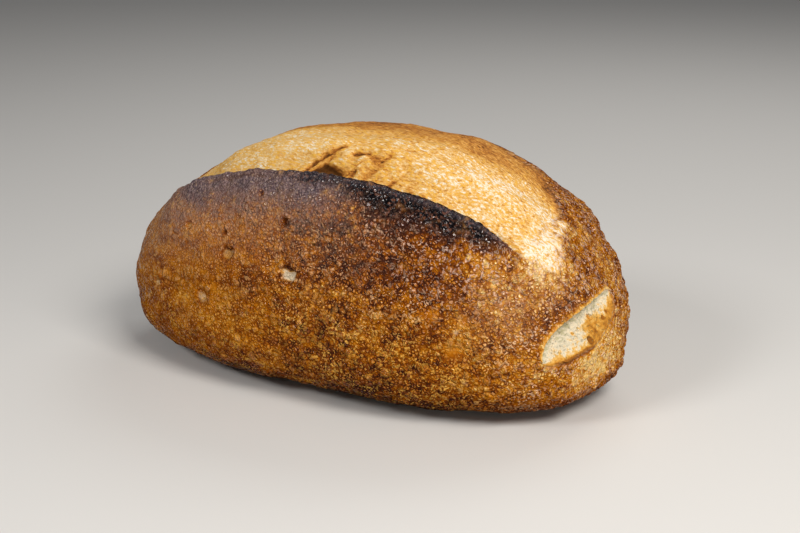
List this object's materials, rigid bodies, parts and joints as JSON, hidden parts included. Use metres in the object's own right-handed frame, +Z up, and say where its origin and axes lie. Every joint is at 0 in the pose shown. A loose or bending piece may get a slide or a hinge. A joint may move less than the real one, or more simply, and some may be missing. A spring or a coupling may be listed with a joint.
{
  "type": "sourdough loaf",
  "caption": "Whole oval hearth loaf with a raised charred ear, a wide smooth bloom along the top and a burst in the crust at one end.",
  "frame": {"origin": "middle of the base that the loaf rests on", "axes": "+X along the loaf towards the end with the burst, -Y towards the front wall below the ear, +Z up"},
  "size_m": [0.27, 0.1534, 0.1258],
  "materials": {
    "crust": "baked crust, satin blisters over a matt ground, paler on the bloom"
  },
  "bodies": {
    "root": {"loaf": "crust"}
  },
  "joints": []
}
